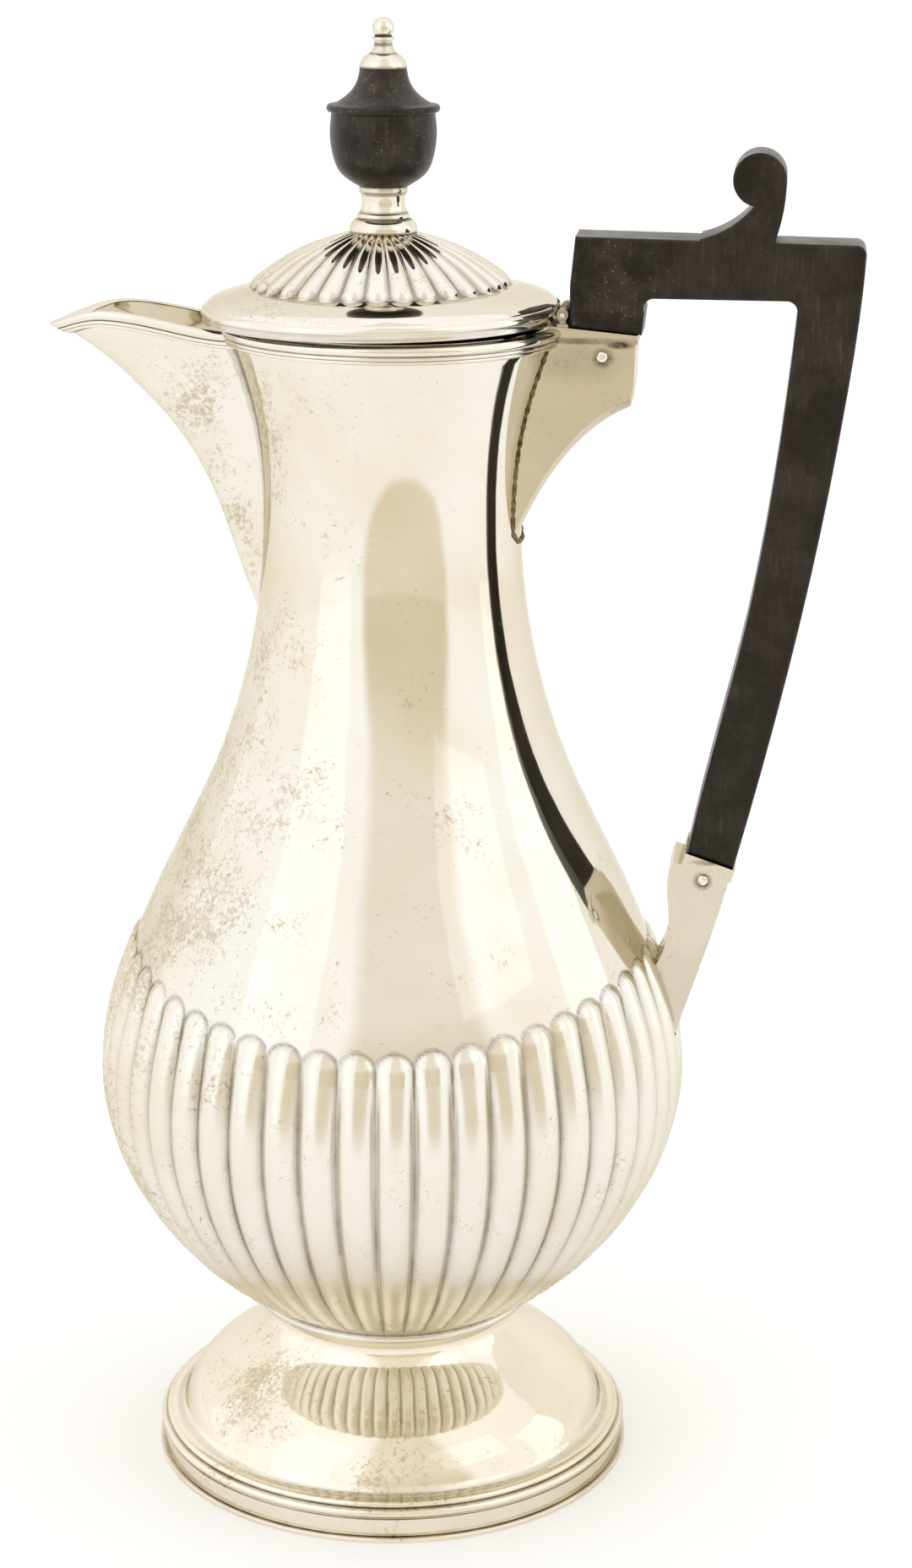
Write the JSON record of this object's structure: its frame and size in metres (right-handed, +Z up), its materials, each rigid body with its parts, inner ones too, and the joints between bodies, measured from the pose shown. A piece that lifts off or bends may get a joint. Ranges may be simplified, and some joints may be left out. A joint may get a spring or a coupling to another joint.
{
  "type": "hot water jug",
  "caption": "Pear-shaped hot water jug with a fluted bulb, waisted neck, hinged domed lid with an urn finial, pouring spout and a dark wood handle on silver sockets.",
  "frame": {"origin": "centre of the foot's underside, on the surface it stands on", "axes": "+Z up along the body's axis, +X towards the handle, -X towards the spout"},
  "size_m": [0.144, 0.108, 0.2675],
  "materials": {
    "silver": "polished, with age speckle",
    "ebony": "oiled and worn"
  },
  "bodies": {
    "jug": {"body_shell": "silver", "mouth_moulding": "silver", "spout": "silver", "spout_lip_moulding": "silver", "foot_shell": "silver", "foot_rim": "silver", "foot_joint_ring": "silver", "upper_socket": "silver", "upper_socket_collar": "silver", "upper_socket_pin": "silver", "lower_socket": "silver", "lower_socket_collar": "silver", "lower_socket_pin": "silver", "handle": "ebony", "hinge_plate": "silver", "hinge_pin": "silver"},
    "lid": {"lid_cover": "silver", "lid_edge": "silver", "lid_bezel": "silver", "lid_hinge_leaf": "silver", "finial_base": "silver", "finial_cup": "ebony", "finial_cover": "ebony", "finial_cap": "silver", "finial_ball": "silver", "finial_rod": "silver", "finial_nut": "silver", "finial_washer": "silver"}
  },
  "joints": [
    {"name": "lid_hinge", "type": "hinge", "parent": "jug", "child": "lid", "pos_m": [0.0304, 0, 0.2178], "axis": [0, 1, 0], "range_deg": [0, 65]}
  ]
}
